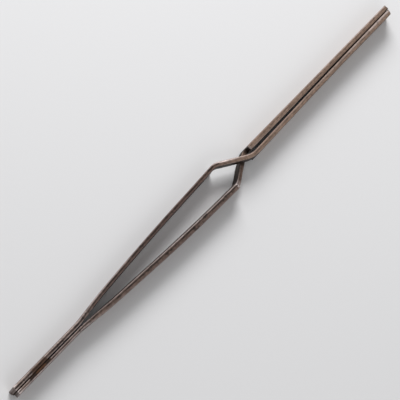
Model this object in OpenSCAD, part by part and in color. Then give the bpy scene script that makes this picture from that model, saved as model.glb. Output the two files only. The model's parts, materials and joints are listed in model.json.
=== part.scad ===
// Reverse tweezers: two spring strips stand on edge side by side, brazed together at the tail.
// They bow apart, cross through each other by half-width notches and run on as the tips.
// Squeezing the bow opens the tips, and letting go lets the strips close them again.
// The tool lies on its side: X runs from the tail to the tips and Z is the strips' width.
// The origin is under the middle of the tool, on the surface that it lies on.

/* [Strip] */
// Thickness of the strip that both arms are bent from
strip_t = 2.1; // [1.7:0.1:2.6]
// Width of the strip, which stands on edge
strip_w = 9; // [6:0.5:14]

/* [Tail] */
// Length of the tail, where the two strips lie side by side
tail_l = 43; // [30:1:60]
// Gap between the two strips along the tail
tail_gap = 0.3; // [0.1:0.05:0.6]
// Length of the brazed seam that fills the gap from the tail's end
seam_l = 21.5; // [8:0.5:26]

/* [Bow] */
// Length of the bow along the tool, from the tail to the front arm's shoulder
bow_l = 98; // [80:1:130]
// Width of the bow at the shoulders, outside to outside
bow_w = 15.6; // [13.5:0.1:18.5]
// Distance from the tail to the corner of the bow's long curve
belly_l = 31; // [30:1:42]
// Width of the bow at that corner, outside to outside
belly_w = 10.8; // [9.6:0.1:11.6]
// Length of strip that the long curve takes on each side of its corner
belly_reach = 26; // [10:1:26]
// Length of strip that the small bend at the tail takes on each side of its corner
spread_reach = 1.5; // [0.5:0.1:1.5]

/* [Crossing] */
// Length of the front arm's crossing along the tool, from its shoulder to its tip bar's root
cross_l = 17; // [14:0.5:24]
// How much nearer the tips the back arm's shoulder lies than the front arm's
back_shift = 3; // [0:0.1:4]
// Length of the back arm's crossing along the tool, from its shoulder to its tip bar's root
back_cross_l = 12.4; // [11:0.2:14]
// Length of strip that each bend of the crossing takes on each side of its corner
bend_reach = 1.2; // [0.9:0.05:1.5]
// Distance that each notch runs past its arm's shoulder towards the tail
notch_tail_side = 1.7; // [1:0.1:4]
// Distance that each notch runs past the front tip bar's root towards the tips
notch_tip_side = 0.3; // [0:0.1:4]
// Clearance between the two half-width crossings where one passes over the other
cross_gap = 0.3; // [0.1:0.05:0.8]

/* [Tips] */
// Length of the tip bars, from the front arm's crossing to the end
tip_l = 92; // [70:1:120]
// Distance of the front tip bar's inner face from the middle line at its root
front_open = 1.5; // [0.6:0.1:2.5]
// Distance of the back tip bar's inner face from the middle line at its root
back_open = 0.3; // [0.1:0.1:2]
// Length at the end over which the closed tips lie along each other
bite_l = 32; // [15:1:50]
// Clearance that stands for the touching faces of the closed tips
jaw_gap = 0.1; // [0.06:0.02:0.3]
// Radius of the worn corners at the ends of the tips, seen from the side
nose_r = 1.8; // [0.5:0.1:2.8]

/* [Spring line] */
// Running clearance between each arm's round end and its seat in the tail strip
seat_clear = 0.04; // [0.02:0.01:0.08]
// Distance by which the thin edges of the seat stop short of the pivot
seat_short = 0.6; // [0.5:0.05:0.9]

/* [Hidden] */

steel = [0.43, 0.38, 0.35];
tip_steel = [0.47, 0.41, 0.37];
bronze = [0.42, 0.26, 0.15];

// Straight stretch of each arm between the pivot and the corner of its first bend
spread_l = 2.5;
// Length of strip that the slight bend in each tip bar takes on each side of its corner
lean_reach = 10;
// Largest distance between a drawn curve and the true one
chord_error = 0.004;
// A turn smaller than this many degrees is drawn straight
least_turn = 0.02;
// How far a cutting shape stands out past what it cuts
over = 1;
// Sides that stand for a full circle in a preview
round_fn = 48;

// Places along the tool, measured from the tail's end
shoulder_x = tail_l + bow_l;
back_shoulder_x = shoulder_x + back_shift;
root_x = shoulder_x + cross_l;
back_root_x = back_shoulder_x + back_cross_l;
notch_end_x = root_x + notch_tip_side;
tip_x = root_x + tip_l;
bite_x = tip_x - bite_l;

// Sideways places of a strip's middle, measured from the tool's middle line
tail_y = (tail_gap + strip_t) / 2;
belly_y = (belly_w - strip_t) / 2;
shoulder_y = (bow_w - strip_t) / 2;
jaw_y = (jaw_gap + strip_t) / 2;
front_root_y = front_open + strip_t / 2;
back_root_y = back_open + strip_t / 2;

// Corners of each arm's middle line as [along, sideways, reach of the bend there]
front_line = [
    [tail_l, tail_y, 0],
    [tail_l + spread_l, tail_y, spread_reach],
    [tail_l + belly_l, belly_y, belly_reach],
    [shoulder_x, shoulder_y, bend_reach],
    [root_x, -front_root_y, bend_reach],
    [bite_x, -jaw_y, lean_reach],
    [tip_x, -jaw_y, 0]
];
back_line = [
    [tail_l, -tail_y, 0],
    [tail_l + spread_l, -tail_y, spread_reach],
    [tail_l + belly_l, -belly_y, belly_reach],
    [back_shoulder_x, -shoulder_y, bend_reach],
    [back_root_x, back_root_y, bend_reach],
    [bite_x, jaw_y, lean_reach],
    [tip_x, jaw_y, 0]
];

function spot(p) = [p[0], p[1]];
function heading(a, b) = atan2(b[1] - a[1], b[0] - a[0]);
function ray(angle) = [cos(angle), sin(angle)];
function left_of(angle) = [-sin(angle), cos(angle)];

// Points of a line that runs beside the middle line at distance off, round the bend at b
function bend_points(a, b, c, off) =
    let (
        h = heading(a, b),
        turn = heading(b, c) - h,
        way = sign(turn)
    )
    abs(turn) < least_turn ? [spot(b) + off * left_of(h)] :
    let (
        r = b[2] / tan(abs(turn) / 2),
        centre = spot(b) - b[2] * ray(h) + way * r * left_of(h),
        steps = ceil(abs(turn) / (2 * acos(1 - chord_error / r)))
    )
    [for (i = [0 : steps]) centre - (way * r - off) * left_of(h + turn * i / steps)];

// Points of the whole line beside the middle line, from one end to the other
function side_line(line, off) =
    let (
        last = len(line) - 1,
        first_h = heading(line[0], line[1]),
        last_h = heading(line[last - 1], line[last])
    )
    concat(
        [spot(line[0]) + off * left_of(first_h)],
        [for (i = [1 : last - 1]) each bend_points(line[i - 1], line[i], line[i + 1], off)],
        [spot(line[last]) + off * left_of(last_h)]
    );

function backwards(points) = [for (i = [len(points) - 1 : -1 : 0]) points[i]];

// Moves the tool from the tail's end to the origin under its middle
module placed() {
    translate([-tip_x / 2, 0, 0])
        children();
}

// Full-width strip bent along a middle line
module bent_strip(line) {
    linear_extrude(height = strip_w)
        polygon(concat(side_line(line, -strip_t / 2), backwards(side_line(line, strip_t / 2))));
}

// Round bar up the whole width, on the line where an arm begins to bend
module pivot_round(y, r) {
    translate([tail_l, y, 0])
        cylinder(h = strip_w, r = r, $fn = round_fn);
}

// Cuts away one half of an arm's width, from near its shoulder to just past the crossing
module notch(from_x, from_z, to_z) {
    translate([from_x, -bow_w, from_z])
        cube([notch_end_x - from_x, 2 * bow_w, to_z - from_z]);
}

// Cuts the square corner off one edge of a tip's end and leaves it round, seen from the side
module corner_cut() {
    translate([tip_x - nose_r, 0, strip_w / 2 - nose_r])
        rotate([90, 0, 0])
            linear_extrude(height = bow_w, center = true)
                difference() {
                    square(nose_r + over);
                    circle(r = nose_r, $fn = round_fn);
                }
}

// Rounds both corners of a tip's end
module nose_cut() {
    translate([0, 0, strip_w / 2]) {
        corner_cut();
        mirror([0, 0, 1])
            corner_cut();
    }
}

// Fixed part of one strip, with a round seat where its arm begins to bend
module tail_strip(y) {
    difference() {
        translate([0, y - strip_t / 2, 0])
            cube([tail_l - seat_short, strip_t, strip_w]);
        translate([tail_l, y, -over])
            cylinder(h = strip_w + 2 * over, r = strip_t / 2 + seat_clear, $fn = round_fn);
    }
}

module front_tail_strip() {
    color(steel)
        placed()
            tail_strip(tail_y);
}

module back_tail_strip() {
    color(steel)
        placed()
            tail_strip(-tail_y);
}

// Braze metal between the two strips at the tail's end
module braze_seam() {
    color(bronze)
        placed()
            translate([0, -tail_gap / 2, 0])
                cube([seam_l, tail_gap, strip_w]);
}

// Arm that passes over the other: its lower half is notched away at the crossing
module front_arm() {
    color(tip_steel)
        placed()
            difference() {
                union() {
                    bent_strip(front_line);
                    pivot_round(tail_y, strip_t / 2);
                }
                notch(shoulder_x - notch_tail_side, -over, (strip_w + cross_gap) / 2);
                nose_cut();
            }
}

// Arm that passes under the other: its upper half is notched away at the crossing
module back_arm() {
    color(tip_steel)
        placed()
            difference() {
                union() {
                    bent_strip(back_line);
                    pivot_round(-tail_y, strip_t / 2);
                }
                notch(back_shoulder_x - notch_tail_side, (strip_w - cross_gap) / 2, strip_w + over);
                nose_cut();
            }
}

front_tail_strip();
back_tail_strip();
braze_seam();
front_arm();
back_arm();
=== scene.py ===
"""Reverse tweezers: two bowed strips of old spring steel that cross through each other.

Each strip begins as a straight notched bar. Its edges are rounded, its faces are marked by forging
and rust, and then it is bent along a middle line. Places along the tool are measured from the
tail's end, and places along a strip from the same end, along its middle line.
"""

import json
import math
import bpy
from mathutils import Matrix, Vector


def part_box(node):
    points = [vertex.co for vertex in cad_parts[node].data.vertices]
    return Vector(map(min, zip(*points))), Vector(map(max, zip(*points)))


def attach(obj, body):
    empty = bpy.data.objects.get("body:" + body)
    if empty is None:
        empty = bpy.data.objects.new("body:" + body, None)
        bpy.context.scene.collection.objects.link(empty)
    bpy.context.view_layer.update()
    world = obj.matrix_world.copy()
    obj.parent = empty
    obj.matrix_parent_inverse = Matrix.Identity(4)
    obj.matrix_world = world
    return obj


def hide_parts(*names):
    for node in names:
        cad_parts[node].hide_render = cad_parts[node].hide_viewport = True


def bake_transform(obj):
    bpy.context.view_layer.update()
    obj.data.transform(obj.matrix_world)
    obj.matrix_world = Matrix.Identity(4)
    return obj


bl_info = {
    "name": "Reverse Tweezers",
    "version": (1, 0, 0),
    "blender": (4, 5, 0),
    "location": "View3D > Sidebar > Tweezers",
    "description": "Builds the strips, the braze seam and the stage of a pair of reverse tweezers",
    "category": "Add Mesh",
}

import bpy
import numpy as np
from bpy.props import FloatProperty, FloatVectorProperty, PointerProperty
from mathutils import Matrix, Vector

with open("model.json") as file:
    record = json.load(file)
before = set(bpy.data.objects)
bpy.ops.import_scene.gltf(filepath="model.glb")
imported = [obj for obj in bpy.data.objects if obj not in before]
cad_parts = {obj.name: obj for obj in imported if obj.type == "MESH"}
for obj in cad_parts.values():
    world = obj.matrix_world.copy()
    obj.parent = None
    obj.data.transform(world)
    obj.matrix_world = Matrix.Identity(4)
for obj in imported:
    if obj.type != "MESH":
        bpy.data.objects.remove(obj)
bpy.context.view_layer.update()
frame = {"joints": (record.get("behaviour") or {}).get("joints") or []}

MM = 0.001

# Sizes and places that come from the frame
TAIL_LOW, TAIL_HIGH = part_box("front_tail_strip")
SEAM_LOW, SEAM_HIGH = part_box("braze_seam")
TAIL_END = TAIL_LOW.x
TOOL_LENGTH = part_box("front_arm")[1].x - TAIL_END
STRIP_WIDTH = TAIL_HIGH.z - TAIL_LOW.z
BEND_START = frame["joints"][0]["pos_m"][0] - TAIL_END

# Lengths that the bends of both middle lines take on each side of their corners
SPREAD_REACH = 2.5 * MM
RISE_REACH = 12 * MM
BELLY_REACH = 20 * MM
BITE_REACH = 10 * MM

# Places along a strip at which the sizes that change along it are given
PLACES = ("tail", "bow", "belly", "shoulder", "crossing", "root", "tip bar", "tip")

# The straight bar from which each strip is shaped, and the steps of the grid on its faces
BAR_THICKNESS = 2 * MM
HALF = BAR_THICKNESS / 2
LONG_STEP = 0.33 * MM
CROSS_STEP = 0.19 * MM
# Distances from an edge to the closer grid rows beside it
EDGE_ROWS = 0.35 * MM * np.array([0, 0.22, 0.48, 0.78, 1.2])
# A point within this distance of a face lies on it
ON_FACE = 0.01 * MM
# Points within this distance of each other are joined
WELD = 0.0001 * MM

# Seeds of the random marks
SEEDS = {"front_strip": 20, "back_strip": 60, "braze_filler": 90}

# Colour sockets of a Mix node
MIX_FACTOR, MIX_FIRST, MIX_SECOND, MIX_RESULT = 0, 6, 7, 2

# Sizes and places of the stage. The view's centre lies level with the strips' upper edges
FLOOR_HALF = 3.0
KEY_SIZE, KEY_PLACE = 0.5, (0.55, 0.6, 0.6)
FILL_SIZE, FILL_PLACE = 0.8, (-0.5, -0.8, 0.9)
VIEW_CENTRE = Vector((-1.9 * MM, 0.75 * MM, STRIP_WIDTH))
NEAR_CLIP, FAR_CLIP = 0.01, 20.0


def distance(name, description, default):
    """A length property, given in millimetres and kept in metres."""
    return FloatProperty(
        name=name, description=description, default=default * MM, unit="LENGTH", precision=5
    )


def turn(name, description, default):
    """An angle property, given in degrees and kept in radians."""
    return FloatProperty(
        name=name, description=description, default=math.radians(default), unit="ROTATION"
    )


def share(name, description, default):
    """A plain number from 0 to 1."""
    return FloatProperty(
        name=name, description=description, default=default, min=0.0, max=1.0, subtype="FACTOR"
    )


def shares(name, description, default):
    """A number from 0 to 1 for each of the places along a strip."""
    return FloatVectorProperty(
        name=name, description=description, default=default, size=len(PLACES), min=0.0, max=1.0
    )


def lengths(name, description, default):
    """Lengths given in millimetres and kept in metres: one for each place, or a span's two ends."""
    return FloatVectorProperty(
        name=name,
        description=description,
        default=[value * MM for value in default],
        size=len(default),
        min=0.0,
        unit="LENGTH",
        precision=5,
    )


def paint(name, description, default):
    """A colour property, in linear light."""
    return FloatVectorProperty(
        name=name,
        description=description,
        default=default,
        size=3,
        subtype="COLOR",
        min=0.0,
        max=1.0,
    )


class StripSizes(bpy.types.PropertyGroup):
    """Sizes that both strips share."""

    spread_at: distance("Spread", "Place of the small bend where the arms part", BEND_START / MM)
    bite_at: distance("Bite", "Place from which the closed tips lie along each other", 218)
    edge_radius: distance("Edge radius", "Mean radius of the right edges", 0.26)
    wall_radius: distance("Wall radius", "Radius of the corners at the lower notch's walls", 0.6)
    crown: distance("Crown", "How far the thin faces fall away towards their edges", 0.1)
    nose_radius: distance("Nose radius", "Radius of the corners of each tip's end", 1.8)
    cross_gap: distance("Crossing gap", "Clearance between the crossings", 0.3)
    notch_end: distance("Notch end", "Place where both notches end", 156.7)
    pit_depth: distance("Pit depth", "Depth of the rust pits", 0.05)
    groove_depth: distance("Groove depth", "Depth of the broken groove in the thin faces", 0.12)
    forge_depth: distance("Forge marks", "Height of the soft waves in the surface", 0.035)


# What each arm has of its own: the kind of property, its name, its description, and the values of
# the front arm and of the back arm, in millimetres, degrees or shares
ARM_SIZES = {
    "tail_slant": (distance, "Tail slant", "How far the tail's lower corner is cut back", 0, 1.0),
    "tip_slant": (distance, "Tip slant", "How far the tip's outer corner is cut back", 1.15, 0.3),
    "tip_short": (distance, "Tip short", "How far the tip stops short of the tool's end", 0.3, 0),
    "tail": (distance, "Tail offset", "Sideways place of the tail", 1.15, -1.36),
    "rise_at": (distance, "Rise", "Place of the bow's first corner", 56.5, 62.5),
    "rise": (distance, "Rise offset", "Sideways place of the bow's first corner", 2.84, -3.06),
    "belly_at": (distance, "Belly", "Place of the bow's second corner", 96, 109),
    "belly": (distance, "Belly offset", "Sideways place of the bow's second corner", 5.28, -5.87),
    "shoulder_at": (distance, "Shoulder", "Place of the shoulder", 139.75, 142.8),
    "shoulder": (distance, "Shoulder offset", "Sideways place of the shoulder", 6.77, -6.5),
    "shoulder_reach": (distance, "Shoulder reach", "Half length of the shoulder's bend", 1.7, 1.4),
    "root_at": (distance, "Root", "Place of the tip bar's root", 155.35, 154.9),
    "root": (distance, "Root offset", "Sideways place of the root", -2.37, 1.3),
    "root_reach": (distance, "Root reach", "Half length of the root's bend", 3.2, 1.6),
    "bite": (distance, "Bite offset", "Sideways place of the tip bar at the bite", -1.18, 1.39),
    "tip": (distance, "Tip offset", "Sideways place of the tip's end", -1.03, 1.345),
    "notch_start": (distance, "Notch start", "Place where the notch begins", 138.1, 140.8),
    "thickness": (
        lengths,
        "Thickness",
        "Thickness along the strip",
        (2.25, 2, 1.92, 1.92, 2.4, 2.1, 2, 2.38),
        (1.7, 2.5, 2.7, 2.45, 2.0, 2.55, 2.25, 2.15),
    ),
    "bow_twist": (turn, "Bow twist", "Lean of the strip's top along the bow", 2, -5.8),
    "cross_twist": (turn, "Crossing twist", "Lean of the strip's top at the crossing", 1, -17),
    "tip_twist": (turn, "Tip twist", "Lean of the strip's top along the tip bar", 0, -0.5),
    "edge_radius": (
        lengths,
        "Edge radius",
        "Radius of the worn left edges",
        (0.75, 0.5, 0.35, 0.35, 0.6, 0.3, 0.3, 0.45),
        (0.35, 0.35, 0.3, 0.3, 0.4, 0.28, 0.26, 0.3),
    ),
    "nicks": (share, "Nicks", "Strength of the nicks in the edges", 1.0, 0.5),
    # The edges' wear is partly a painted highlight: the left edges face the lamp
    "left_rim": (
        lengths,
        "Left rim",
        "Width of the left edges' wear",
        (1.4, 1.0, 0.5, 0.52, 1.3, 0.7, 1.8, 2.4),
        (0.7, 0.5, 0.38, 0.45, 1.1, 0.6, 0.6, 0.7),
    ),
    "right_rim": (
        lengths,
        "Right rim",
        "Width of the right edges' wear",
        (0.8, 0.5, 0.5, 0.5, 0.5, 0.5, 0.8, 1.4),
        (1.1, 0.8, 0.5, 0.5, 0.5, 0.9, 0.5, 0.5),
    ),
    "left_wear": (
        shares,
        "Left wear",
        "How bare the left edges are worn",
        (0.3, 0.5, 0.18, 0.4, 0.72, 0.14, 0.12, 0.5),
        (0.3, 0.3, 0.62, 0.52, 0.2, 0.1, 0.2, 0.36),
    ),
    "right_wear": (
        shares,
        "Right wear",
        "How bare the right edges are worn",
        (0.3, 0.08, 0.03, 0.06, 0.24, 0.16, 0, 0.02),
        (0.48, 0.22, 0.12, 0.22, 0, 0.22, 0.06, 0),
    ),
    "groove": (
        shares,
        "Groove",
        "Place of the groove across the thickness, from the left",
        (0.6, 0.5, 0.47, 0.47, 0.44, 0.46, 0.5, 0.5),
        (0.52, 0.37, 0.35, 0.35, 0.5, 0.4, 0.4, 0.45),
    ),
    "groove_width": (distance, "Groove width", "Width of one side of the groove", 0.39, 0.25),
    "tone": (
        shares,
        "Tone",
        "How light the steel is",
        (0.42, 0.28, 0.1, 0.3, 0.56, 0.98, 0.95, 0.98),
        (0.34, 0.44, 0.32, 0.42, 0.4, 0.96, 0.93, 0.93),
    ),
    "film": (
        shares,
        "Rust film",
        "How much thin rust lies on the steel",
        (0.1, 0.4, 0.8, 0.8, 0.3, 0.3, 0.2, 0),
        (0, 0, 0.05, 0.05, 0.5, 0.3, 0.3, 0.2),
    ),
    "stain": (share, "Stain", "Strength of the braze stain", 0.9, 1.0),
    "stain_reach": (
        lengths,
        "Stain reach",
        "Where the stain begins and ends",
        (11.2, 20.6),
        (8.0, 21.8),
    ),
    "stain_width": (distance, "Stain width", "How far the stain spreads from the gap", 2.3, 2.0),
    "scorch": (share, "Scorch", "How black the ends of the stain are", 0.35, 1.0),
}
FRONT, BACK = 0, 1


def arm_properties(which):
    """A property for each of an arm's sizes, with the front or the back arm's values."""
    return {
        key: kind(name, description, values[which])
        for key, (kind, name, description, *values) in ARM_SIZES.items()
    }


class FrontArm(bpy.types.PropertyGroup):
    """The strip whose arm passes over the other."""

    __annotations__ = arm_properties(FRONT)


class BackArm(bpy.types.PropertyGroup):
    """The strip whose arm passes under the other."""

    __annotations__ = arm_properties(BACK)


class SteelFinish(bpy.types.PropertyGroup):
    """Colours of the old steel and of the braze metal."""

    dark_steel: paint("Dark steel", "Dark brown patina", (0.05, 0.0345, 0.0345))
    light_steel: paint("Light steel", "Lighter steel, as on the tip bars", (0.182, 0.127, 0.097))
    # Bare steel, also laid on the edges that face the lamp as a painted highlight
    worn_steel_and_highlight: paint("Worn steel", "Edges that handling has rubbed bare", (0.452, 0.39, 0.38))
    # Also laid as painted shade over faces that lie in shade, besides the grime in pits, grooves
    # and specks
    grime_and_shade: paint("Grime", "Oxide and dirt in pits and grooves", (0.018, 0.012, 0.01))
    rust: paint("Rust", "Brown rust spots", (0.1, 0.05, 0.028))
    stain: paint("Stain", "Stain that the brazing left on the tail", (0.074, 0.031, 0.012))
    scorch: paint("Scorch", "Black-brown ends of the stain", (0.016, 0.0085, 0.0055))
    braze: paint("Braze", "Dull braze metal in the seam", (0.05, 0.027, 0.014))


class StageLook(bpy.types.PropertyGroup):
    """Floor, backdrop, camera and lights."""

    floor: paint("Floor", "Colour of the pale floor", (0.8, 0.8, 0.81))
    tilt: turn("Tilt", "Angle by which the camera looks from the tail's side", 20)
    side_tilt: turn("Side tilt", "Angle by which the camera looks from the back arm's side", 1.4)
    diagonal: turn("Diagonal", "Angle of the tool across the view", 45.73)
    frame_width: distance("Frame width", "Width of the view at the tool", 175.8)
    lens: FloatProperty(
        name="Lens", description="Focal length of the camera", default=1500.0, unit="CAMERA"
    )
    key_power: FloatProperty(
        name="Key", description="Power of the key lamp", default=9.0, unit="POWER"
    )
    fill_power: FloatProperty(
        name="Fill", description="Power of the fill lamp", default=2.0, unit="POWER"
    )
    sky: share("Sky", "Brightness of the even light from all round", 0.45)


def value_noise(points, scale, seed):
    """Random field from 0 to 1: lattice values, blended across each cell by a smooth step.

    The lattice repeats after as many cells as it has on a side.
    """
    side = 64
    lattice = np.random.default_rng(seed).random((side, side, side))
    place = points / scale
    cell = np.floor(place).astype(int)
    blend = place - cell
    blend = blend * blend * (3 - 2 * blend)
    total = np.zeros(points.shape[:-1])
    for corner in np.ndindex(2, 2, 2):
        index = (cell + np.array(corner)) % side
        weight = np.prod(np.where(np.array(corner) == 1, blend, 1 - blend), axis=-1)
        total += weight * lattice[index[..., 0], index[..., 1], index[..., 2]]
    return total


def rough_noise(points, scale, seed):
    """Mean of three noise fields, each half as coarse and half as strong as the one before."""
    strengths = [1, 1 / 2, 1 / 4]
    layers = [
        strength * value_noise(points, strength * scale, seed + i)
        for i, strength in enumerate(strengths)
    ]
    return sum(layers) / sum(strengths)


def smooth_step(low, high, values):
    """0 below low, 1 above high and a smooth ramp between, or falling where high is the lower."""
    t = np.clip((values - low) / (high - low), 0, 1)
    return t * t * (3 - 2 * t)


def patchy(points, scale, seed, low, high):
    """Patches of about the given size: noise that is pushed to 0 below low and to 1 above high."""
    return smooth_step(low, high, value_noise(points, scale, seed))


def bell(values, centre, width):
    """1 at the centre, falling away on both sides to about a third at the width."""
    return np.exp(-(((values - centre) / width) ** 2))


class MiddleLine:
    """Line along the middle of a strip, seen from above: straight runs joined by arcs.

    Each corner is (along, sideways, reach), and its arc touches the two runs at that reach from
    the corner.
    """

    def __init__(self, corners):
        spots = np.array([corner[:2] for corner in corners], float)
        reach = [corner[2] for corner in corners]
        steps = np.diff(spots, axis=0)
        run = np.hypot(steps[:, 0], steps[:, 1])
        heading = np.arctan2(steps[:, 1], steps[:, 0])
        pieces = []
        for i in range(len(run)):
            pieces.append((run[i] - reach[i] - reach[i + 1], 0.0))
            if i + 1 < len(run):
                bend = heading[i + 1] - heading[i]
                radius = reach[i + 1] / math.tan(abs(bend) / 2) if bend else math.inf
                arc = radius * abs(bend) if bend else 0.0
                pieces.append((arc, math.copysign(1, bend) / radius))
        travel, self.curve = np.array(pieces).T
        self.start = np.concatenate([[0], np.cumsum(travel)[:-1]])
        self.length = travel.sum()
        self.heading = heading[0] + np.concatenate([[0], np.cumsum(travel * self.curve)[:-1]])
        self.spot = np.zeros((len(travel), 2))
        self.spot[0] = spots[0]
        for i in range(1, len(travel)):
            self.spot[i] = self.at_piece(i - 1, travel[i - 1])[0]

    def at_piece(self, i, travel):
        """Place and heading after some travel along piece i, reached by the chord of its arc."""
        first, curve = self.heading[i], self.curve[i]
        last = first + curve * travel
        middle = (first + last) / 2
        chord = travel * np.sinc(curve * travel / (2 * math.pi))
        place = self.spot[i] + np.stack([chord * np.cos(middle), chord * np.sin(middle)], axis=-1)
        return place, last

    def at(self, along):
        """Places and headings at distances along the line."""
        i = np.clip(np.searchsorted(self.start, along, side="right") - 1, 0, len(self.start) - 1)
        return self.at_piece(i, along - self.start[i])

    def distance_to(self, x):
        """Distance along the line at which it passes a place along the tool."""
        trials = np.linspace(0, self.length, 4000)
        return np.interp(x, self.at(trials)[0][:, 0], trials)


def graded(low, high, step):
    """Places from low to high: close together near both ends, and about one step apart between."""
    inner_low, inner_high = low + EDGE_ROWS[-1], high - EDGE_ROWS[-1]
    inner = np.linspace(inner_low, inner_high, max(2, round((inner_high - inner_low) / step) + 1))
    return np.concatenate([low + EDGE_ROWS[:-1], inner, (high - EDGE_ROWS[:-1])[::-1]])


def ring_of(across, up):
    """Once round a section: under it, up one side, over the top and down the other side."""
    sideways = [across, np.full(len(up) - 1, across[-1]), across[-2::-1]]
    sideways.append(np.full(len(up) - 2, across[0]))
    height = [np.full(len(across), up[0]), up[1:], np.full(len(across) - 1, up[-1]), up[-2:0:-1]]
    return np.concatenate(sideways), np.concatenate(height)


def rings_along(length, notch, wall):
    """Place along the bar of each ring of its skin, and the height that the ring is clipped to.

    The three stretches of the bar have a ring at each place of their grid. Each wall of the notch
    has a ring for each row of the wall's grid, which runs from the bar's edge to the notch's floor.
    """
    before = graded(0, notch[0], LONG_STEP)
    within = graded(notch[0], notch[1], LONG_STEP)
    after = graded(notch[1], length, LONG_STEP)
    walls = [np.full(len(wall), place) for place in notch]
    place = [before, walls[0], within, walls[1], after]
    clip = [
        np.full(len(before), wall[0]),
        wall,
        np.full(len(within), wall[-1]),
        wall[::-1],
        np.full(len(after), wall[0]),
    ]
    return np.concatenate(place)[:, None], np.concatenate(clip)[:, None]


def notched_bar(length, notch, floor, keeps_top):
    """Square-edged bar with a half-width notch, as points (along, sideways, up) and quads.

    A ring of points is carried along the bar, and its heights are clipped to the half that is kept
    in the notch. A flat grid closes each end.
    """
    across = graded(-HALF, HALF, CROSS_STEP)
    lower = graded(0, floor, LONG_STEP)
    upper = graded(floor, STRIP_WIDTH, LONG_STEP)
    up = np.concatenate([lower, upper[1:]])
    place, clip = rings_along(length, notch, lower if keeps_top else upper[::-1])
    sideways, height = ring_of(across, up)
    height = np.maximum(height, clip) if keeps_top else np.minimum(height, clip)
    grids = [np.stack(np.broadcast_arrays(place, sideways, height), axis=-1)]
    cap_side, cap_up = np.meshgrid(across, up, indexing="ij")
    for end in (0, length):
        grids.append(np.stack(np.broadcast_arrays(end, cap_side, cap_up), axis=-1))
    skin_faces = grid_faces(*height.shape, closed=True)[:, ::-1]
    cap_faces = grid_faces(*cap_up.shape, closed=False)
    faces = [
        skin_faces,
        height.size + cap_faces[:, ::-1],
        height.size + cap_up.size + cap_faces,
    ]
    points = np.concatenate([grid.reshape(-1, 3) for grid in grids])
    return welded(points, np.concatenate(faces))


def grid_faces(rows, columns, closed):
    """Quads of a grid of points, whose columns close on themselves for a ring."""
    i = np.arange(rows - 1)[:, None]
    j = np.arange(columns if closed else columns - 1)[None, :]
    k = (j + 1) % columns
    corners = [i * columns + j, (i + 1) * columns + j, (i + 1) * columns + k, i * columns + k]
    return np.stack(np.broadcast_arrays(*corners), axis=-1).reshape(-1, 4)


def welded(points, faces):
    """Joins points that coincide, and drops the faces that this closes up."""
    keys = np.round(points / WELD).astype(np.int64)
    _, first, new = np.unique(keys, axis=0, return_index=True, return_inverse=True)
    faces = new.reshape(-1)[faces]
    ordered = np.sort(faces, axis=1)
    whole = (np.diff(ordered, axis=1) > 0).all(axis=1)
    return points[first], faces[whole]


def rounded(points, radius, boxes):
    """Rounds a square-edged union of boxes, and gives each point's outward direction.

    Each box is shrunk by the radius. A point goes to the nearest spot in the shrunk boxes, and
    from there one radius outwards, so faces stay where they are and edges and corners turn round.
    """
    nearest = np.zeros_like(points)
    best = np.full(len(points), np.inf)
    for low, high in boxes:
        inside = np.clip(points, np.array(low) + radius[:, None], np.array(high) - radius[:, None])
        far = np.linalg.norm(points - inside, axis=1)
        nearer = far < best
        nearest[nearer] = inside[nearer]
        best[nearer] = far[nearer]
    outward = (points - nearest) / best[:, None]
    return nearest + outward * radius[:, None], outward


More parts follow.
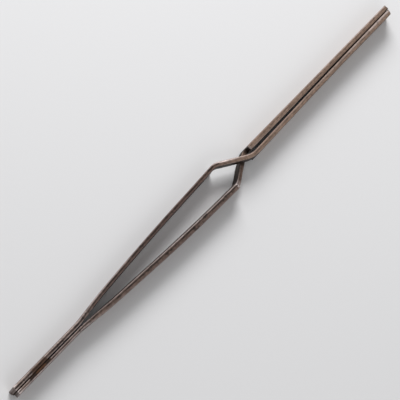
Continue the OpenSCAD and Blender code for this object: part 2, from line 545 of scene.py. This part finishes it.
class StripBar:
    """One strip before it is bent: a straight square-edged bar with its notch, and a middle line.

    x runs along the bar from the tail's end, y across its thickness, positive to the left, and z
    up its width.
    """

    def __init__(self, sizes, arm, keeps_top):
        self.sizes, self.arm, self.keeps_top = sizes, arm, keeps_top
        # Side to which the arm bows out, 1 for the left: the front arm's, which keeps its top
        self.bow_side = 1 if keeps_top else -1
        self.line = MiddleLine(
            [
                (0, arm.tail, 0),
                (sizes.spread_at, arm.tail, SPREAD_REACH),
                (arm.rise_at, arm.rise, RISE_REACH),
                (arm.belly_at, arm.belly, BELLY_REACH),
                (arm.shoulder_at, arm.shoulder, arm.shoulder_reach),
                (arm.root_at, arm.root, arm.root_reach),
                (sizes.bite_at, arm.bite, BITE_REACH),
                (TOOL_LENGTH - arm.tip_short, arm.tip, 0),
            ]
        )
        self.length = self.line.length
        walls = (arm.notch_start, sizes.notch_end)
        self.notch = [self.line.distance_to(wall) for wall in walls]
        self.floor = (STRIP_WIDTH + self.bow_side * sizes.cross_gap) / 2
        self.square, self.faces = notched_bar(self.length, self.notch, self.floor, keeps_top)
        self.x, self.y, self.z = self.square.T
        self.straight_end = sizes.spread_at - 1 * MM
        # Distances to the places at which the changing sizes are given, in the order of PLACES
        bow = sizes.spread_at + 10 * MM
        self.places = [
            self.straight_end,
            bow,
            bow + 52 * MM,
            self.notch[0],
            self.notch[0] + 5 * MM,
            self.notch[1],
            self.notch[1] + 42 * MM,
            self.length,
        ]

    def along(self, values):
        """A size that changes along the strip, at every point, from its values at the places."""
        return np.interp(self.x, self.places, values)

    def left_or_right(self, left, right):
        """The same for a size that has its own values on the left and on the right."""
        return np.where(self.y > 0, self.along(left), self.along(right))

    def boxes(self):
        """The bar as three boxes, each from its lowest to its highest corner."""
        low, high = (self.floor, STRIP_WIDTH) if self.keeps_top else (0, self.floor)
        return [
            ((0, -HALF, low), (self.length, HALF, high)),
            ((0, -HALF, 0), (self.notch[0], HALF, STRIP_WIDTH)),
            ((self.notch[1], -HALF, 0), (self.length, HALF, STRIP_WIDTH)),
        ]

    def from_walls(self):
        """Distance of each point along the bar from the nearer wall of the notch."""
        return np.minimum(np.abs(self.x - self.notch[0]), np.abs(self.x - self.notch[1]))

    def from_edges(self):
        """Distance of each point from the nearest edge of the bar.

        A point lies on one face, so its smallest distance from the faces is nought, and the next
        smallest is its distance from an edge.
        """
        in_notch = (self.x > self.notch[0]) & (self.x < self.notch[1])
        low = np.where(in_notch & self.keeps_top, self.floor, 0)
        high = np.where(in_notch & (not self.keeps_top), self.floor, STRIP_WIDTH)
        cut_half = (self.z < self.floor) if self.keeps_top else (self.z > self.floor)
        from_ends = np.minimum(self.x, self.length - self.x)
        lengthwise = np.where(
            cut_half & ~in_notch, np.minimum(self.from_walls(), from_ends), from_ends
        )
        distances = [
            HALF - np.abs(self.y),
            np.minimum(self.z - low, high - self.z),
            lengthwise,
        ]
        return np.sort(distances, axis=0)[1]


def worn_radius(bar, seed):
    """Radius of the worn edge near each point.

    It goes from the right edges' radius to the left ones' across the middle of the thickness. It
    wanders, shrinks towards the tail's end, and grows at nicks and at the walls of a notch in the
    top.
    """
    sizes = bar.sizes
    wander = 0.75 + 0.5 * value_noise(bar.square, 4 * MM, seed)
    nick_depth = 0.15 * MM * bar.arm.nicks
    nicks = nick_depth * patchy(bar.square, 1.3 * MM, seed + 1, 0.74, 0.9)
    on_left = smooth_step(-0.3 * HALF, 0.3 * HALF, bar.y)
    at_tail_end = 0.5 + 0.5 * smooth_step(0, 3 * MM, bar.x)
    radius = sizes.edge_radius + (bar.along(bar.arm.edge_radius) - sizes.edge_radius) * on_left
    radius = radius * wander * at_tail_end + nicks
    if not bar.keeps_top:
        wall_reach = 1.5 * MM
        near_walls = 0.3 * bell(bar.x, bar.notch[0], wall_reach)
        near_walls += bell(bar.x, bar.notch[1], wall_reach)
        radius += (sizes.wall_radius - sizes.edge_radius) * near_walls
    return radius


def surface_marks(bar, outward, seed):
    """Rust pits and the groove, both from 0 to 1, and how far they and the waves lift each point.

    The waves are rough noise drawn out along the strip. The pits are small patches, denser within
    wide ones. The groove, which shearing left in the thin faces, is a bell across the thickness
    about a wandering line, broken into dashes. Pits and groove are fainter past the crossing. The
    thin faces are crowned by the square of the distance from their middle.
    """
    sizes, square = bar.sizes, bar.square
    on_thin_face = smooth_step(0.8, 0.95, np.abs(outward[:, 2]))
    past_crossing = smooth_step(bar.notch[0], bar.notch[0] + 6 * MM, bar.x)

    waves = rough_noise(square * [0.35, 1, 1], 2.2 * MM, seed + 2) - 0.5
    patches = patchy(square, 7 * MM, seed + 5, 0.42, 0.62)
    pits = patchy(square, 0.75 * MM, seed + 6, 0.68, 0.84) * (0.35 + 0.65 * patches)
    pits *= 1 - 0.88 * past_crossing

    lengthwise = square * [1, 0, 0]
    centre = HALF * (1 - 2 * bar.along(bar.arm.groove))
    centre += 0.2 * HALF * (value_noise(lengthwise, 7 * MM, seed + 7) - 0.5)
    dashes = 0.6 + 0.4 * patchy(lengthwise, 1.5 * MM, seed + 8, 0.35, 0.65)
    groove = bell(bar.y, centre, bar.arm.groove_width) * on_thin_face
    groove *= dashes * (1 - 0.5 * past_crossing)

    lift = sizes.forge_depth * waves - sizes.pit_depth * pits - sizes.groove_depth * groove
    lift -= sizes.crown * (bar.y / HALF) ** 2 * on_thin_face
    return pits, groove, lift


def bareness_and_highlight(bar, seed):
    """How bare each point is worn, partly real wear and partly painted highlight.

    Handling rubs a band along each edge, which fades over its ragged width, and the rim of the
    tail's end. Each side's band has its own width and amount, mostly barer on the left edges, which
    face the lamp, so the bands are partly a painted highlight. The lower arm's notch is also pale
    along its walls at the top, partly a painted highlight on the rounded edge, and each arm along
    its notch's floor, just past the shoulder, as painted light. The whole is mottled.
    """
    ragged = 0.75 + 0.5 * value_noise(bar.square, 3 * MM, seed + 9)
    # Painted highlight in part: each side's band has its own width and amount, mostly barer on the
    # left edges, which face the lamp
    rim_width = bar.left_or_right(bar.arm.left_rim, bar.arm.right_rim) * ragged
    rim = 1 - smooth_step(0.3, 1.0, bar.from_edges() / rim_width)
    wear = rim * bar.left_or_right(bar.arm.left_wear, bar.arm.right_wear)

    near_tail_end = 1 - smooth_step(0.8 * MM, 3.2 * MM, bar.x)
    wear += (0.12 + 0.3 * rim) * near_tail_end * np.where(bar.x < ON_FACE, 0.2, 1)
    # Partly wear and partly a painted highlight along the top of the lower arm's notch walls
    if not bar.keeps_top:
        near_walls = 1 - smooth_step(0.6 * MM, 1.1 * MM, bar.from_walls())
        first_wall = bar.x < bar.notch[0] + 1 * MM
        at_top = bar.z > STRIP_WIDTH - 0.5 * MM
        wear += near_walls * at_top * np.where(first_wall, 0.8, 0.35)

    # Painted light on each notch's floor just past the shoulder
    past_shoulder = 1 - smooth_step(2 * MM, 5 * MM, bar.x - bar.notch[0])
    beside_floor = (bar.z > bar.floor - 0.4 * MM) & (bar.z < bar.floor + ON_FACE)
    wear += 0.3 * past_shoulder * (beside_floor & (bar.x > bar.notch[0]))
    return wear * (0.7 + 0.6 * value_noise(bar.square, 1.1 * MM, seed + 10))


def lightness(bar):
    """How light the steel is: the arm's tone, and more beside the tail's end but not on it."""
    near_tail_end = (1 - smooth_step(4 * MM, 9 * MM, bar.x)) * (bar.x >= ON_FACE)
    return bar.along(bar.arm.tone) + 0.25 * near_tail_end


def painted_shade_mask(bar):
    """Painted shade: how dark each point is painted, the largest of the masks of the faces that lie
    in shade.
    """
    into_notch, past_notch = bar.x - bar.notch[0], bar.x - bar.notch[1]
    on_bow_side = bar.bow_side * bar.y - HALF
    inside_bow = -bar.bow_side * bar.y > HALF - ON_FACE
    between_tips = (on_bow_side > -ON_FACE) & (bar.z < STRIP_WIDTH - 0.2 * MM)

    # Painted shade on the inner face of the bow where it is narrow, and of the crossing
    run_out = 2.5 * MM if bar.keeps_top else 0
    crossing = smooth_step(-0.5 * MM, 1.5 * MM, into_notch)
    crossing *= smooth_step(-0.5 * MM, 1.5 * MM, run_out - past_notch)
    masks = [
        0.9 * inside_bow * smooth_step(75 * MM, 45 * MM, bar.x),
        inside_bow * crossing,
    ]

    # Painted shade on the inner face of the tip bar, and a painted dark line along its top where
    # the closed tips meet
    seam = smooth_step(-0.32 * MM, -0.12 * MM, on_bow_side)
    masks += [
        0.9 * between_tips * smooth_step(0, 3 * MM, past_notch),
        0.9 * seam * smooth_step(38 * MM, 60 * MM, past_notch),
    ]

    # Painted shade on the front arm's far wall, or a painted shadow of the front arm on what lies
    # under it, and painted shade at the foot of the far wall
    if bar.keeps_top:
        masks.append((np.abs(past_notch) < ON_FACE) & (bar.z < bar.floor))
    else:
        under_front_arm = smooth_step(-8.6 * MM, -6.8 * MM, past_notch)
        under_front_arm *= smooth_step(-3.6 * MM, -4.6 * MM, past_notch)
        at_foot = smooth_step(-2.4 * MM, -1.0 * MM, past_notch)
        below_top = (bar.x <= bar.notch[1]) & (bar.z < STRIP_WIDTH - 0.6 * MM)
        masks += [0.85 * under_front_arm * below_top, at_foot * below_top]
    return np.maximum.reduce(masks)


def bent(bar, shape):
    """Makes the straight shape as thick, leaning and bent at each place as the arm's sizes say.

    The slants shift points along the bar near its ends. The nose lessens the width by the drop of
    a circle. A leaning section is turned about the bar's middle, and made lower first, so that it
    stays within the width. Each section then stands on the middle line, square to its heading.
    """
    sizes, arm, middle = bar.sizes, bar.arm, STRIP_WIDTH / 2
    x, y, z = shape.T
    x = x + (1 - z / STRIP_WIDTH) * arm.tail_slant * smooth_step(6 * MM, 0, x)
    towards_outer = (1 - bar.bow_side * y / HALF) / 2
    near_tip = smooth_step(bar.length - 4 * MM, bar.length, x)
    x = x - towards_outer * arm.tip_slant * near_tip

    from_tip = np.clip(bar.length - x, 0, sizes.nose_radius)
    drop = sizes.nose_radius - np.sqrt(sizes.nose_radius**2 - (sizes.nose_radius - from_tip) ** 2)
    z = (z - middle) * (1 - drop / middle)
    y = y * np.interp(x, bar.places, arm.thickness) / BAR_THICKNESS

    leans = [
        (bar.straight_end, 0),
        (sizes.spread_at + 15 * MM, arm.bow_twist),
        (bar.notch[0], arm.bow_twist),
        (bar.notch[0] + 2 * MM, arm.cross_twist),
        (bar.notch[0] + 8 * MM, arm.cross_twist),
        (bar.notch[1], arm.tip_twist),
    ]
    lean = np.interp(x, *zip(*leans))
    z = z * (middle - HALF * np.abs(np.sin(lean))) / (middle * np.cos(lean))
    sideways = y * np.cos(lean) + z * np.sin(lean)
    height = middle + z * np.cos(lean) - y * np.sin(lean)

    on_line = np.clip(x, 0, bar.length)
    past_end = x - on_line
    place, heading = bar.line.at(on_line)
    return np.stack(
        [
            TAIL_END + place[:, 0] + past_end * np.cos(heading) - sideways * np.sin(heading),
            place[:, 1] + past_end * np.sin(heading) + sideways * np.cos(heading),
            height,
        ],
        axis=-1,
    )


def braze_marks(points, arm, seed):
    """Shares of brown stain and of its black-brown ends: a ragged patch along the brazed gap."""
    low, high = arm.stain_reach
    soft = 0.6 * MM
    x = points[:, 0] - TAIL_END + 1.6 * MM * (rough_noise(points, 1.5 * MM, seed + 11) - 0.5)
    along = smooth_step(low - soft, low + soft, x) * (1 - smooth_step(high - soft, high + soft, x))
    away = np.abs(points[:, 1]) + 0.7 * MM * (rough_noise(points, 1.2 * MM, seed + 12) - 0.5)
    stain = arm.stain * along * (1 - smooth_step(0.55 * arm.stain_width, arm.stain_width, away))
    brown = smooth_step(low + 3.5 * MM, low + 5 * MM, x)
    brown *= 1 - smooth_step(high - 4.2 * MM, high - 2.8 * MM, x)
    return stain, (1 - brown) * arm.scorch


def strip_surface(sizes, arm, keeps_top, seed):
    """Points and faces of one bent strip, and the fields that its finish reads.

    The marks, the wear with its painted highlights, and the painted shade are worked out on the
    straight bar, so they follow the strip. Each field of noise adds its own number to the strip's
    seed.
    """
    bar = StripBar(sizes, arm, keeps_top)
    shape, outward = rounded(bar.square, worn_radius(bar, seed), bar.boxes())
    pits, groove, lift = surface_marks(bar, outward, seed)
    wear = bareness_and_highlight(bar, seed)
    points = bent(bar, shape + outward * lift[:, None])
    stain, scorch = braze_marks(points, arm, seed)
    fields = {
        "place": bar.square,
        # Real wear and painted highlight on the edges
        "wear": wear,
        "pits": pits,
        "groove": groove,
        "tone": lightness(bar),
        "film": bar.along(arm.film),
        # Painted shade on the faces that lie in shade
        "soot": painted_shade_mask(bar),
        "stain": stain,
        "scorch": scorch,
    }
    return points, bar.faces.tolist(), fields


def seam_surface(strips, seed):
    """Points and faces of the braze seam.

    A thin upright lens, a section between an oval and a box, is carried along the gap. Its top and
    bottom wander, and its ends run out. It reaches a little way into both strips, as braze metal
    that has wetted them does, and a fan of faces closes each end.
    """
    rings, columns = 180, 48
    squareness = 0.35
    gap = [strip.tail - math.copysign(strip.thickness[0] / 2, strip.tail) for strip in strips]
    length = SEAM_HIGH.x - SEAM_LOW.x
    along = np.linspace(0, length, rings)[:, None]
    angle = np.linspace(0, 2 * math.pi, columns, endpoint=False)[None, :]
    # The noise is read on a tube round the gap, so that it meets itself
    tube = 3 * MM
    spot = [along, np.cos(angle) * tube, np.sin(angle) * tube]
    spot = np.stack(np.broadcast_arrays(*spot), axis=-1)

    run_out = np.sqrt(np.clip(np.minimum(along, length - along) / (0.9 * MM), 0, 1))
    sunk = 0.25 * MM + 0.5 * MM * rough_noise(spot * [1, 0, 0.5], 3 * MM, seed)
    half_height = (STRIP_WIDTH / 2 - sunk) * (0.75 + 0.25 * run_out)
    wetted = 0.1 * MM * rough_noise(spot, 1.2 * MM, seed + 4)
    half_width = (abs(gap[0] - gap[1]) / 2 + wetted) * np.maximum(run_out, 0.02)
    across = np.sign(np.cos(angle)) * np.abs(np.cos(angle)) ** squareness
    upward = np.sign(np.sin(angle)) * np.abs(np.sin(angle)) ** squareness
    skin = [
        SEAM_LOW.x + along,
        sum(gap) / 2 + half_width * across,
        STRIP_WIDTH / 2 + half_height * upward,
    ]
    skin = np.stack(np.broadcast_arrays(*skin), axis=-1)

    faces = grid_faces(rings, columns, closed=True)[:, ::-1]
    middles = [skin[0].mean(axis=0), skin[-1].mean(axis=0)]
    points = np.concatenate([skin.reshape(-1, 3), middles])
    j = np.arange(columns)
    k = (j + 1) % columns
    last = (rings - 1) * columns
    tail_cap = np.stack([np.full(columns, len(points) - 2), k, j], axis=-1)
    front_cap = np.stack([np.full(columns, len(points) - 1), last + j, last + k], axis=-1)
    return points, faces.tolist() + tail_cap.tolist() + front_cap.tolist()


def new_piece(name, points, faces, fields, material):
    """Makes an object at the origin from points and faces, with a value per point in each field."""
    mesh = bpy.data.meshes.new(name)
    mesh.from_pydata(points.tolist(), [], faces)
    for field, values in fields.items():
        kind, slot = ("FLOAT_VECTOR", "vector") if values.ndim == 2 else ("FLOAT", "value")
        attribute = mesh.attributes.new(field, kind, "POINT")
        attribute.data.foreach_set(slot, values.astype(np.float32).ravel())
    mesh.materials.append(material)
    mesh.shade_smooth()
    mesh.update()
    piece = bpy.data.objects.new(name, mesh)
    bpy.context.scene.collection.objects.link(piece)
    return piece


class Field:
    """A shader socket whose sums, differences and products add Math nodes."""

    def __init__(self, graph, socket):
        self.graph = graph
        self.socket = socket

    def math(self, operation, first, second):
        """A Math node on two fields or numbers."""
        return self.graph.field("ShaderNodeMath", {"operation": operation}, {0: first, 1: second})

    def __add__(self, other):
        return self.math("ADD", self, other)

    def __sub__(self, other):
        return self.math("SUBTRACT", self, other)

    def __rsub__(self, other):
        return self.math("SUBTRACT", other, self)

    def __mul__(self, other):
        return self.math("MULTIPLY", self, other)

    __radd__ = __add__
    __rmul__ = __mul__


class Graph:
    """The nodes of a material or of the world."""

    def __init__(self, owner):
        owner.use_nodes = True
        self.owner = owner
        self.tree = owner.node_tree
        self.tree.nodes.clear()

    def node(self, kind, settings=None, inputs=None):
        """Adds a node, sets its settings, then gives its inputs their values or links."""
        made = self.tree.nodes.new(kind)
        for name, value in (settings or {}).items():
            setattr(made, name, value)
        for key, value in (inputs or {}).items():
            if isinstance(value, Field):
                self.tree.links.new(value.socket, made.inputs[key])
            else:
                made.inputs[key].default_value = value
        return made

    def field(self, kind, settings=None, inputs=None, output=0):
        """Adds a node and wraps one of its outputs."""
        return Field(self, self.node(kind, settings, inputs).outputs[output])

    def attribute(self, name, output="Fac"):
        """One of the mesh's own fields."""
        return self.field("ShaderNodeAttribute", {"attribute_name": name}, output=output)

    def noise(self, place, scale, detail=3.0, roughness=0.6):
        """Noise with features of about the given size."""
        inputs = {"Vector": place, "Scale": 1 / scale, "Detail": detail, "Roughness": roughness}
        return self.field("ShaderNodeTexNoise", None, inputs)

    def ramp(self, value, low, high):
        """0 below low, 1 above high and a smooth ramp between."""
        settings = {"interpolation_type": "SMOOTHSTEP", "clamp": True}
        inputs = {"Value": value, "From Min": low, "From Max": high}
        return self.field("ShaderNodeMapRange", settings, inputs)

    def mix(self, factor, first, second, blend="MIX"):
        """Colour that goes from the first to the second, or to their blend."""
        settings = {"data_type": "RGBA", "blend_type": blend}
        inputs = {MIX_FACTOR: factor, MIX_FIRST: solid(first), MIX_SECOND: solid(second)}
        return self.field("ShaderNodeMix", settings, inputs, output=MIX_RESULT)

    def grey(self, value):
        """A number as a grey colour."""
        return self.field("ShaderNodeCombineColor", None, {0: value, 1: value, 2: value})

    def stretch(self, place, scales):
        """Coordinates scaled apart from each other, for streaks."""
        return self.field("ShaderNodeVectorMath", {"operation": "MULTIPLY"}, {0: place, 1: scales})

    def surface(self, colour, roughness, metallic, bump, depth):
        """Joins the fields to a shader and an output, with a bump of the given depth."""
        bump_inputs = {"Height": bump, "Distance": depth, "Strength": 1.0}
        inputs = {
            "Base Color": colour,
            "Roughness": roughness,
            "Metallic": metallic,
            "Specular IOR Level": 0.15,
            "Normal": self.field("ShaderNodeBump", None, bump_inputs),
        }
        shader = self.field("ShaderNodeBsdfPrincipled", None, inputs)
        self.node("ShaderNodeOutputMaterial", None, {"Surface": shader})
        return self.owner


def solid(colour):
    """A property colour as the four numbers of a socket, or a field as it is."""
    return colour if isinstance(colour, Field) else (*colour, 1.0)


def old_steel(finish):
    """Old spring steel: brown patina, dark in pits and grooves, rubbed bare and pale on edges with
    painted highlights, and painted shade on faces out of the light.
    """
    graph = Graph(bpy.data.materials.new("old_steel"))
    place = graph.attribute("place", "Vector")
    names = ("wear", "pits", "groove", "tone", "film", "soot", "stain", "scorch")
    wear, pits, groove, tone, film, soot, stain, scorch = map(graph.attribute, names)

    mottle = graph.noise(place, 2.4 * MM, 5.0, 0.65)
    streaks = graph.noise(graph.stretch(place, (0.12, 1.0, 1.0)), 0.5 * MM, 4.0)
    scratches = graph.noise(graph.stretch(place, (1.0, 0.12, 0.12)), 0.6 * MM)
    speckle = graph.noise(place, 0.9 * MM, 6.0, 0.72)
    specks = graph.ramp(graph.noise(place, 1.1 * MM, 6.0, 0.75), 0.5, 0.7)
    cloud = graph.noise(place, 9 * MM, 2.0, 0.5)
    grain = graph.noise(place, 0.3 * MM)

    # Patina: the arm's tone, shaded by mottling, streaks along the strip and scratches across it
    shade = 0.7 * mottle + 0.9 * streaks + 0.3 * scratches
    shade = shade + 0.7 * graph.ramp(speckle, 0.35, 0.65) - 0.2
    colour = graph.mix(tone, finish.dark_steel, finish.light_steel)
    colour = graph.mix(1.0, colour, graph.grey(shade), "MULTIPLY")

    # Rust spots, bare steel that also stands in for painted highlights, a film of rust over it, and
    # dark specks
    rust = graph.ramp(speckle + 0.35 * cloud, 0.76, 0.9)
    # Painted highlight in part: bare steel where the wear field is high
    worn_and_highlight = wear * (0.55 + 0.9 * mottle)
    colour = graph.mix(0.5 * rust, colour, finish.rust)
    colour = graph.mix(worn_and_highlight, colour, finish.worn_steel_and_highlight)
    colour = graph.mix(0.5 * film * mottle, colour, finish.rust)
    colour = graph.mix(0.62 * specks, colour, finish.grime_and_shade)

    # The braze stain, dirt in pits and grooves, and painted shade on the faces that lie in shade
    stained = stain * graph.ramp(mottle, 0.1, 0.3) * (1 - 0.25 * worn_and_highlight)
    burnt = graph.mix(scorch * graph.ramp(mottle, 0.3, 0.55), finish.stain, finish.scorch)
    dirt = graph.ramp(0.5 * pits + 0.95 * groove + 0.3 * (speckle - 0.5), 0.1, 0.8)
    colour = graph.mix(stained, colour, burnt)
    colour = graph.mix(0.95 * dirt, colour, finish.grime_and_shade)
    # Painted shade: the grime colour laid over the faces that lie in shade
    colour = graph.mix(0.9 * soot, colour, finish.grime_and_shade)

    roughness = 0.5 + 0.2 * (mottle - 0.5) + 0.25 * rust - 0.04 * worn_and_highlight + 0.2 * dirt + 0.2 * stained
    metallic = 0.85 - 0.65 * rust - 0.55 * dirt - 0.55 * stained
    height = 0.6 * grain + 0.4 * streaks - 0.5 * rust
    return graph.surface(colour, roughness, metallic, height, 0.03 * MM)


def dull_braze(finish):
    """Dull braze metal, darkened by flux and rust."""
    graph = Graph(bpy.data.materials.new("dull_braze"))
    place = graph.field("ShaderNodeTexCoord", output="Object")
    lumps = graph.noise(place, 1.4 * MM, 4.0)
    colour = graph.mix(graph.ramp(lumps, 0.35, 0.65), finish.grime_and_shade, finish.braze)
    roughness = 0.6 + 0.25 * lumps
    metallic = 0.3 + 0.4 * graph.ramp(lumps, 0.5, 0.7)
    return graph.surface(colour, roughness, metallic, lumps, 0.08 * MM)


def pale_floor(colour):
    """Plain matt floor."""
    graph = Graph(bpy.data.materials.new("pale_floor"))
    inputs = {"Base Color": solid(colour), "Roughness": 0.9, "Specular IOR Level": 0.2}
    shader = graph.field("ShaderNodeBsdfPrincipled", None, inputs)
    graph.node("ShaderNodeOutputMaterial", None, {"Surface": shader})
    return graph.owner


def material_named(name, maker, settings):
    """The material of that name, which its maker makes at the first use."""
    return bpy.data.materials.get(name) or maker(settings)


def add_strip(context, name, arm, keeps_top, nodes):
    """Builds one strip, bent along its middle line, and hides the frame's parts that it stands for.
    """
    surface = strip_surface(context.scene.strip_sizes, arm, keeps_top, SEEDS[name])
    steel = material_named("old_steel", old_steel, context.scene.steel_finish)
    strip = new_piece(name, *surface, steel)
    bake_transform(strip)
    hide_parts(*nodes)


class TWEEZERS_OT_front_strip(bpy.types.Operator):
    """Builds the front strip, whose arm passes over the other at the crossing"""

    bl_idname = "tweezers.front_strip"
    bl_label = "Front Strip"

    def execute(self, context):
        arm = context.scene.front_arm_sizes
        nodes = ("front_tail_strip", "front_arm")
        add_strip(context, "front_strip", arm, True, nodes)
        return {"FINISHED"}


class TWEEZERS_OT_back_strip(bpy.types.Operator):
    """Builds the back strip, whose arm passes under the other at the crossing"""

    bl_idname = "tweezers.back_strip"
    bl_label = "Back Strip"

    def execute(self, context):
        arm = context.scene.back_arm_sizes
        nodes = ("back_tail_strip", "back_arm")
        add_strip(context, "back_strip", arm, False, nodes)
        return {"FINISHED"}


class TWEEZERS_OT_braze_seam(bpy.types.Operator):
    """Builds the braze metal in the gap between the strips at the tail"""

    bl_idname = "tweezers.braze_seam"
    bl_label = "Braze Seam"

    def execute(self, context):
        name = "braze_filler"
        strips = (context.scene.front_arm_sizes, context.scene.back_arm_sizes)
        points, faces = seam_surface(strips, SEEDS[name])
        braze = material_named("dull_braze", dull_braze, context.scene.steel_finish)
        seam = new_piece(name, points, faces, {}, braze)
        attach(seam, "tail")
        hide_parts("braze_seam")
        return {"FINISHED"}


def add_floor(colour):
    """Adds a square floor, level with the tool's lowest edges."""
    corners = np.array([(-1, -1, 0), (1, -1, 0), (1, 1, 0), (-1, 1, 0)]) * FLOOR_HALF
    floor = new_piece("floor", corners, [(0, 1, 2, 3)], {}, pale_floor(colour))


def add_lamp(name, power, size, place):
    """Adds a soft square lamp that faces the middle of the tool."""
    lamp = bpy.data.lights.new(name, "AREA")
    lamp.energy = power
    lamp.size = size
    made = bpy.data.objects.new(name, lamp)
    made.location = place
    made.rotation_mode = "QUATERNION"
    made.rotation_quaternion = (-Vector(place)).to_track_quat("-Z", "Y")
    bpy.context.scene.collection.objects.link(made)


def add_camera(look):
    """Adds a long-lens camera that looks down from the tail's side, the tool across a diagonal.

    Two tilts give the direction back to the camera. The tool's length, square to it, is then
    turned to the diagonal of the view.
    """
    backward = Vector((-math.tan(look.tilt), -math.tan(look.side_tilt), 1)).normalized()
    across = backward.cross(Vector((1, 0, 0))).normalized()
    along = across.cross(backward)
    right = along * math.cos(look.diagonal) - across * math.sin(look.diagonal)
    upward = along * math.sin(look.diagonal) + across * math.cos(look.diagonal)
    camera = bpy.data.cameras.new("camera")
    camera.lens = look.lens
    camera.clip_start, camera.clip_end = NEAR_CLIP, FAR_CLIP
    away = look.frame_width * camera.lens / camera.sensor_width
    turned = Matrix((right, upward, backward)).transposed().to_4x4()
    made = bpy.data.objects.new("camera", camera)
    made.matrix_world = Matrix.Translation(VIEW_CENTRE + backward * away) @ turned
    bpy.context.scene.collection.objects.link(made)
    bpy.context.scene.camera = made


def set_world(sky):
    """Even grey light from all round, which the camera and reflections see as white."""
    graph = Graph(bpy.data.worlds.new("studio"))
    bpy.context.scene.world = graph.owner
    rays = ("Is Camera Ray", "Is Glossy Ray", "Is Transmission Ray")
    camera, glossy, transmission = (graph.field("ShaderNodeLightPath", output=ray) for ray in rays)
    seen = graph.ramp(camera + glossy + transmission, 0.0, 1.0)
    light = graph.field("ShaderNodeBackground", None, {"Strength": sky + (1 - sky) * seen})
    graph.node("ShaderNodeOutputWorld", None, {"Surface": light})


class TWEEZERS_OT_stage(bpy.types.Operator):
    """Adds the pale floor, the studio lights and the camera"""

    bl_idname = "tweezers.stage"
    bl_label = "Stage"

    def execute(self, context):
        look = context.scene.stage_look
        add_floor(look.floor)
        add_lamp("key_lamp", look.key_power, KEY_SIZE, KEY_PLACE)
        add_lamp("fill_lamp", look.fill_power, FILL_SIZE, FILL_PLACE)
        add_camera(look)
        set_world(look.sky)
        context.scene.view_settings.view_transform = "Standard"
        return {"FINISHED"}


class TWEEZERS_PT_panel(bpy.types.Panel):
    """Lists the pieces of the tweezers and their settings"""

    bl_label = "Reverse Tweezers"
    bl_idname = "TWEEZERS_PT_panel"
    bl_space_type = "VIEW_3D"
    bl_region_type = "UI"
    bl_category = "Tweezers"

    def draw(self, context):
        for operator in OPERATORS:
            self.layout.operator(operator.bl_idname)
        for group in GROUPS:
            settings = getattr(context.scene, group)
            self.layout.label(text=group.replace("_", " ").capitalize())
            for name in settings.__annotations__:
                self.layout.prop(settings, name)


OPERATORS = (
    TWEEZERS_OT_front_strip,
    TWEEZERS_OT_back_strip,
    TWEEZERS_OT_braze_seam,
    TWEEZERS_OT_stage,
)
GROUPS = {
    "strip_sizes": StripSizes,
    "front_arm_sizes": FrontArm,
    "back_arm_sizes": BackArm,
    "steel_finish": SteelFinish,
    "stage_look": StageLook,
}


def register():
    for made in (*GROUPS.values(), *OPERATORS, TWEEZERS_PT_panel):
        bpy.utils.register_class(made)
    for name, group in GROUPS.items():
        setattr(bpy.types.Scene, name, PointerProperty(type=group))


def unregister():
    for name in GROUPS:
        delattr(bpy.types.Scene, name)
    for made in (TWEEZERS_PT_panel, *OPERATORS, *GROUPS.values()):
        bpy.utils.unregister_class(made)


def main():
    """Builds the tool and its stage."""
    register()
    bpy.ops.tweezers.stage()
    bpy.ops.tweezers.front_strip()
    bpy.ops.tweezers.back_strip()
    bpy.ops.tweezers.braze_seam()


if __name__ == "__main__":
    main()
